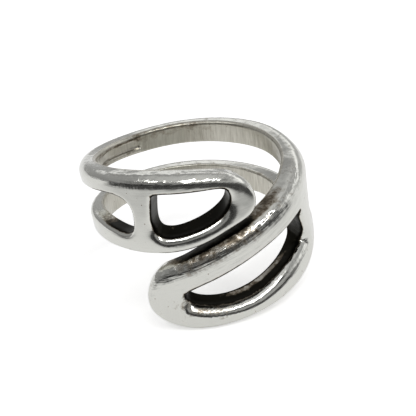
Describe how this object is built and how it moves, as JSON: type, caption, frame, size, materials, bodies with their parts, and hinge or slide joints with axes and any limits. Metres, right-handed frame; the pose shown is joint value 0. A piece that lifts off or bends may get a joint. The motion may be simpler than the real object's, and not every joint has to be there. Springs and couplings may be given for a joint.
{
  "type": "bypass finger ring",
  "caption": "Polished silver finger ring whose two pierced open loops pass each other at the front, on a split shank of two round-backed wires.",
  "frame": {"origin": "on the axis of the finger bore, at the middle of the ring's height", "axes": "+Z along the finger bore, towards the left loop's upper edge; the front, where the two loops pass each other, faces -Y, and the right loop joins the shank on the +X side"},
  "size_m": [0.0214, 0.0213, 0.016],
  "materials": {
    "silver": "polished silver, darkened in the recesses"
  },
  "bodies": {
    "ring": {"left_loop": "silver", "left_crossbar": "silver", "right_loop": "silver", "right_crossbar": "silver", "upper_shank_left": "silver", "upper_shank_right": "silver", "lower_shank_left": "silver", "lower_shank_right": "silver", "upper_sizing_insert": "silver", "lower_sizing_insert": "silver"}
  },
  "joints": []
}
